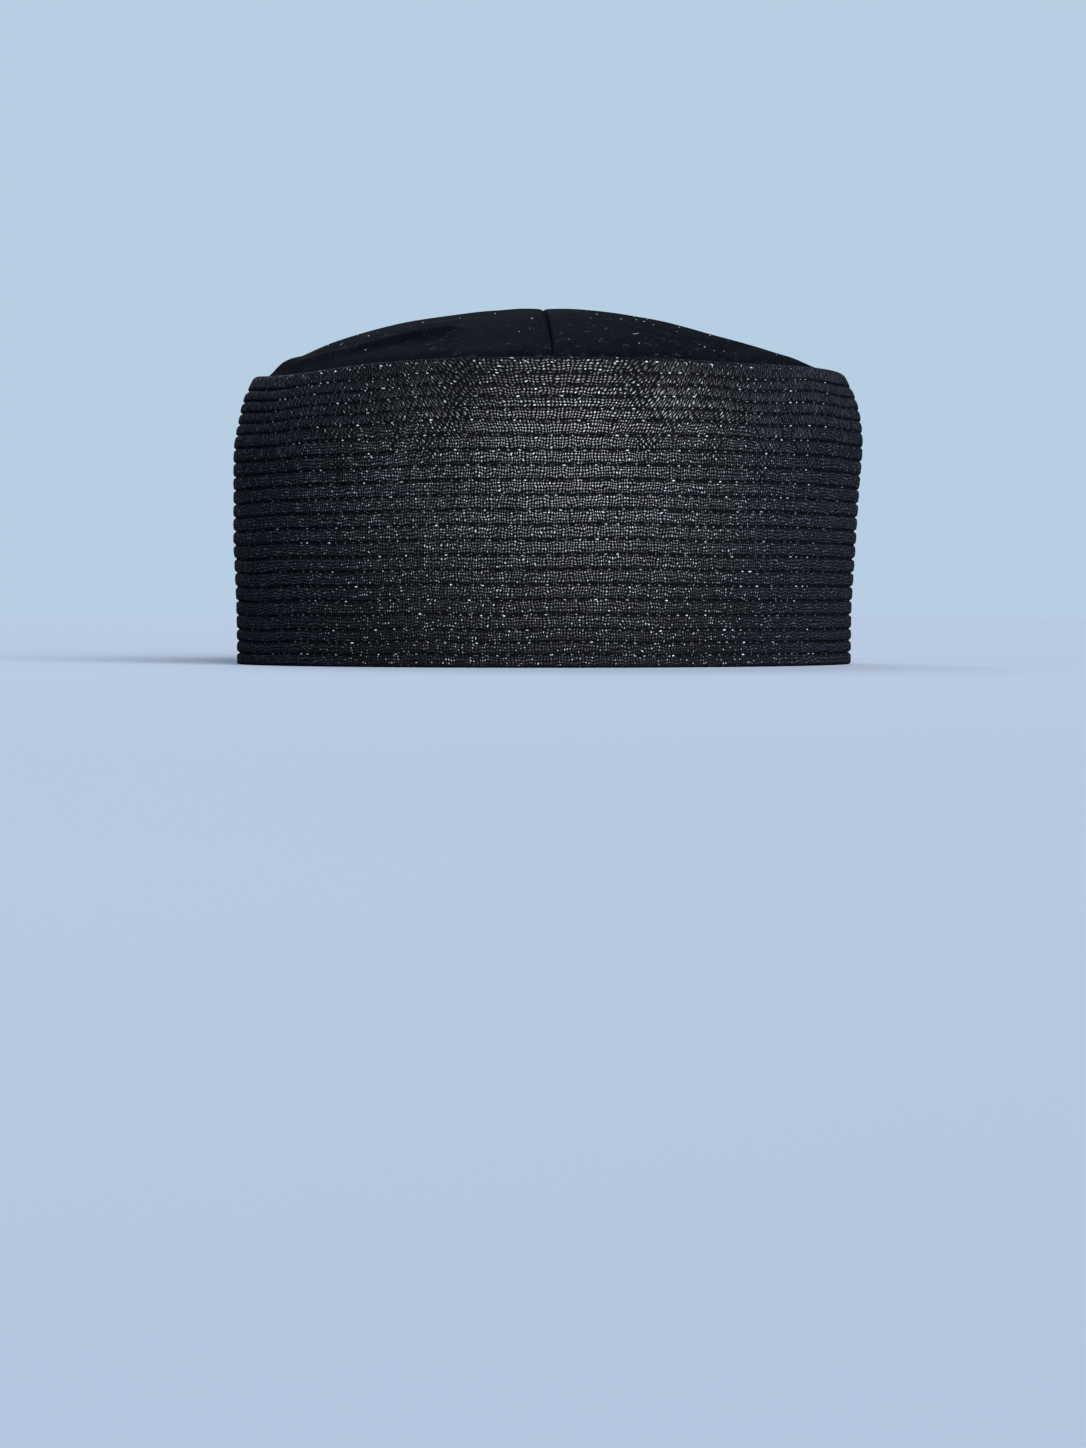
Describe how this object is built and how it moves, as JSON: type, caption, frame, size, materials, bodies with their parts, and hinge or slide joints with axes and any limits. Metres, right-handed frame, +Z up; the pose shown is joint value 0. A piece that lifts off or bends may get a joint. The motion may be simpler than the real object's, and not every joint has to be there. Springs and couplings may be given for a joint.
{
  "type": "kufi cap",
  "caption": "Round brimless cap with a tall, stiff, row-stitched band and a low domed crown of sewn gores. It rests on its rim.",
  "frame": {"origin": "middle of the flat rim that the cap rests on", "axes": "+Z up through the crown, +Y to the back of the cap, +X to the right as the picture shows it"},
  "size_m": [0.1789, 0.206, 0.1005],
  "materials": {
    "band_cloth": "black plain weave with a slight thread sheen, padded and stitched in rows",
    "crown_cloth": "matt navy-black fine cloth"
  },
  "bodies": {
    "root": {"stitched_band": "band_cloth", "gore_front_left": "crown_cloth", "gore_front_right": "crown_cloth", "gore_back_right": "crown_cloth", "gore_back_left": "crown_cloth"}
  },
  "joints": []
}
